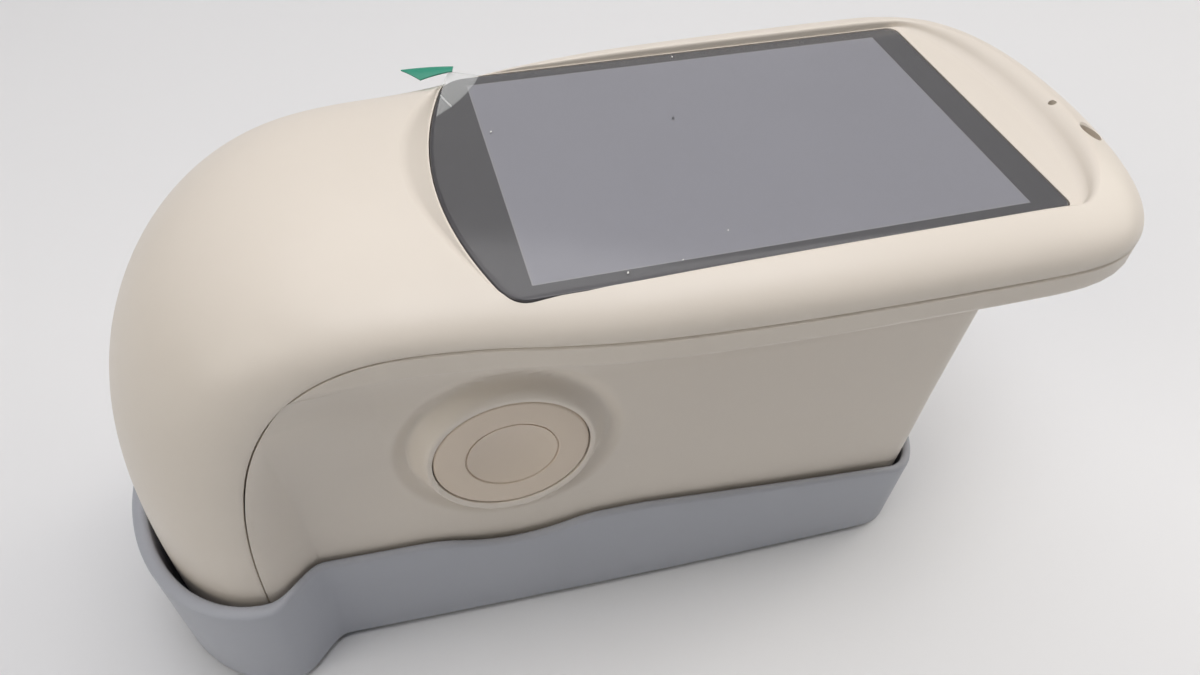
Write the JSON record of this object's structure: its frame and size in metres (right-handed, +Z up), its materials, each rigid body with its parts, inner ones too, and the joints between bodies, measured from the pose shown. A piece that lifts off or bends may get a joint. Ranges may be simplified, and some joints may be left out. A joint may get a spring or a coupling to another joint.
{
  "type": "gloss meter",
  "caption": "Hand-held two-angle gloss meter with a large display, a side measuring key and its charging dock.",
  "frame": {"origin": "middle of the footprint box, on the surface that the dock's feet stand on", "axes": "+X towards the head's rear overhang, +Y away from the measuring key, +Z up"},
  "size_m": [0.1672, 0.071, 0.0885],
  "materials": {
    "cream_shell": "fine satin moulded",
    "tan_key": "satin",
    "grey_dock": "satin",
    "black_plastic": "matte",
    "rubber": "matte",
    "metal": "satin",
    "steel": "bright",
    "circuit_board": "solder mask",
    "grey_glass": "polished",
    "display": "polished",
    "clear_film": "clear",
    "green_tab": "glossy"
  },
  "bodies": {
    "case": {"top_cover": "cream_shell", "grip_housing": "cream_shell", "display_glass": "grey_glass", "display_panel": "display", "display_bracket": "metal", "screen_film": "clear_film", "film_tab": "green_tab", "measure_switch": "black_plastic", "side_board": "circuit_board", "main_board": "circuit_board", "board_screw_1": "steel", "board_screw_2": "steel", "board_screw_3": "steel", "board_screw_4": "steel", "base_plate": "metal", "base_screw_1": "steel", "base_screw_2": "steel", "base_screw_3": "steel", "base_screw_4": "steel", "aperture_window": "grey_glass", "optics_block": "black_plastic", "light_source_20": "metal", "light_source_60": "metal", "receiver_20": "metal", "receiver_60": "metal", "battery_tray": "black_plastic", "battery": "metal", "usb_socket": "steel", "port_board": "circuit_board", "dock_shell": "grey_dock", "dock_foot_1": "rubber", "dock_foot_2": "rubber", "dock_foot_3": "rubber", "dock_foot_4": "rubber", "tile_frame": "metal", "calibration_tile": "black_plastic"},
    "key": {"measure_button": "tan_key", "measure_plunger": "black_plastic"}
  },
  "joints": [
    {"name": "measure_key", "type": "slide", "parent": "case", "child": "key", "axis": [0, 1, 0], "range_m": [0, 0.0012], "stiffness_N_per_m": 600}
  ]
}
